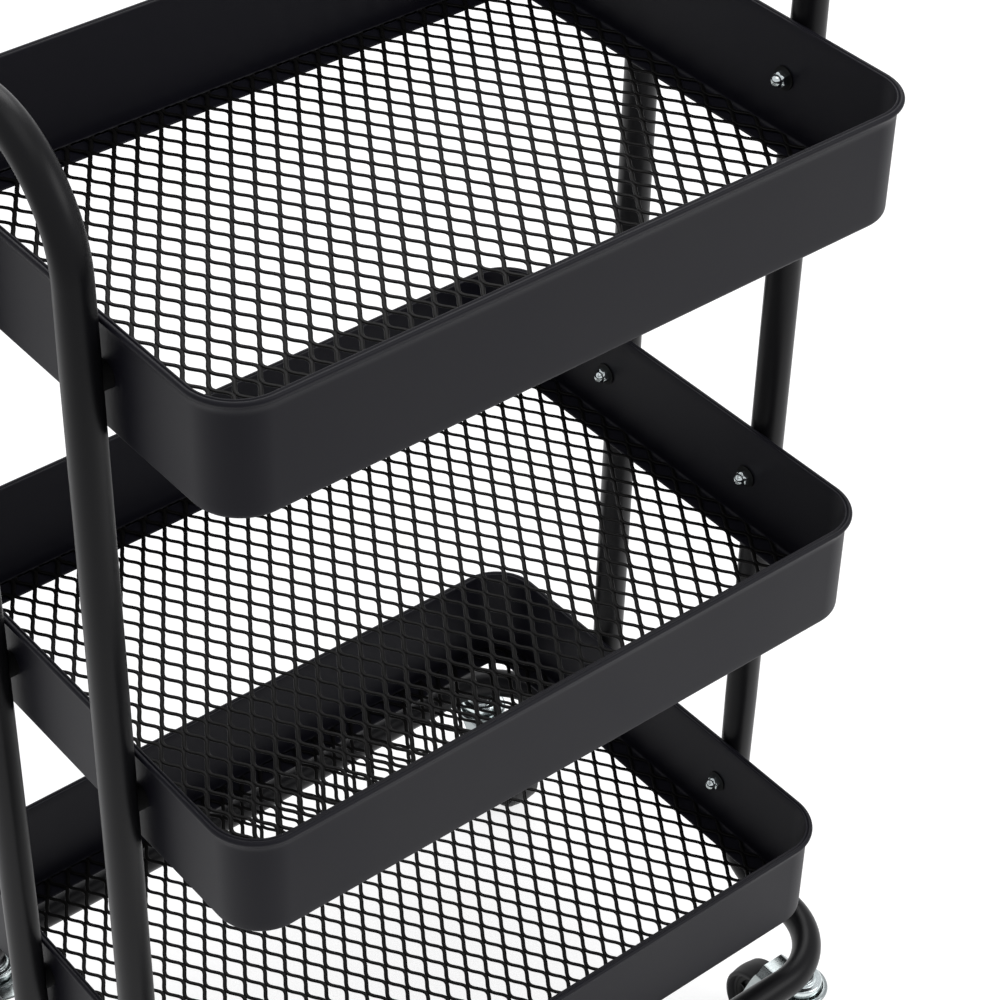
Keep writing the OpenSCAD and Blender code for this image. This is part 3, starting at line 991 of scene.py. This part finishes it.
def area_light(name, spot, aim, size, power, tint=(1.0, 1.0, 1.0)):
    data = bpy.data.lights.new(name, "AREA")
    data.shape, data.size, data.size_y = "RECTANGLE", size[0], size[1]
    data.energy, data.color = power, tint
    lamp = bpy.data.objects.new(name, data)
    bpy.context.scene.collection.objects.link(lamp)
    lamp.location = spot
    lamp.rotation_euler = (Vector(aim) - Vector(spot)).to_track_quat("-Z", "Y").to_euler()
    return lamp


class CART_OT_stage(bpy.types.Operator):
    """Sets up the floor, the lights and the camera"""

    bl_idname = "cart.stage"
    bl_label = "Stage"

    def execute(self, context):
        st = settings().stage
        scene = context.scene
        s = Shader("Studio floor")
        cloud = s.noise(3.0, 2.0, 0.5)
        base = s.mix(cloud * 0.15, rgba(st.floor), rgba(st.floor, 0.97))
        # Painted shade on the floor: the floor's even glow is dimmed towards the camera's side, down to 0.3 of full,
        # so the floor is darker there.
        across = s.node("ShaderNodeSeparateXYZ", {}, {0: s.place()})
        near = across[0] * -0.62 + across[1] * -0.78
        painted_shade_mask = (1.0 - (near - 0.25).clamped(0.0, 1.0) * 0.75).clamped(0.3, 1.0)
        glow_with_painted_shade = s.mix(painted_shade_mask, (0.0, 0.0, 0.0, 1.0), (1.0, 1.0, 1.0, 1.0))
        floor_mat = s.finish(
            Base_Color=base, Roughness=0.6, Specular_IOR_Level=0.2, Emission_Color=glow_with_painted_shade, Emission_Strength=0.74
        )
        verts = [(-12, -12, 0), (12, -12, 0), (12, 12, 0), (-12, 12, 0)]
        floor = new_piece("studio_floor", verts, [(0, 1, 2, 3)], floor_mat, False)
        world = bpy.data.worlds.new("Studio")
        scene.world = world
        world.use_nodes = True
        back = world.node_tree.nodes["Background"]
        back.inputs["Color"].default_value = (0.97, 0.97, 1.0, 1.0)
        back.inputs["Strength"].default_value = 0.7
        area_light("key", (1.6, -2.0, 2.4), (0, 0, 0.4), (1.6, 1.6), 26)
        area_light("back", (1.5, 1.9, 2.4), (0, 0, 0.4), (1.6, 1.6), 22)
        area_light("top", (0.0, 0.0, 3.0), (0, 0, 0.4), (1.6, 1.6), 8)
        cam = bpy.data.cameras.new("Camera")
        camera = bpy.data.objects.new("Camera", cam)
        scene.collection.objects.link(camera)
        cam.sensor_width, cam.lens = 36.0, st.lens
        cam.shift_x, cam.shift_y = 0.05, -0.08
        turn, lift, roll = (math.radians(v) for v in (-38.74, 38.02, 0.70))
        away = Vector((math.sin(turn) * math.cos(lift), -math.cos(turn) * math.cos(lift), math.sin(lift)))
        right = Vector((math.cos(turn), math.sin(turn), 0.0))
        up = away.cross(right)
        across = right * math.cos(roll) + up * math.sin(roll)
        above = -right * math.sin(roll) + up * math.cos(roll)
        pose = Matrix((across, above, away)).transposed().to_4x4()
        pose.translation = Vector((-0.69791, -0.91548, 1.39721))
        camera.matrix_world = pose
        cam.clip_start, cam.clip_end = 0.05, 60.0
        scene.camera = camera
        scene.view_settings.view_transform = "Standard"
        return {"FINISHED"}


# ---------------------------------------------------------------------------
# Panel and registration

STEPS = ("stage", "trays", "mesh_floors", "end_frames", "tray_bolts", "casters", "small_parts")
OPERATORS = (
    CART_OT_stage,
    CART_OT_trays,
    CART_OT_mesh_floors,
    CART_OT_end_frames,
    CART_OT_tray_bolts,
    CART_OT_casters,
    CART_OT_small_parts,
)


class CART_PT_panel(bpy.types.Panel):
    """Lists the cart's building steps"""

    bl_idname = "CART_PT_panel"
    bl_label = "Rolling Utility Cart"
    bl_space_type = "VIEW_3D"
    bl_region_type = "UI"
    bl_category = "Cart"

    def draw(self, context):
        for step in STEPS:
            self.layout.operator(f"cart.{step}")
        for group in GROUPS:
            box = self.layout.box()
            box.label(text=group.title())
            values = getattr(context.scene.cart, group)
            for key in GROUPS[group].__annotations__:
                box.prop(values, key)


CLASSES = tuple(GROUPS.values()) + (CartSettings,) + OPERATORS + (CART_PT_panel,)


def register():
    for c in CLASSES:
        bpy.utils.register_class(c)
    bpy.types.Scene.cart = PointerProperty(type=CartSettings)


def unregister():
    del bpy.types.Scene.cart
    for c in reversed(CLASSES):
        bpy.utils.unregister_class(c)


def main():
    register()
    for step in STEPS:
        getattr(bpy.ops.cart, step)()


if __name__ == "__main__":
    main()
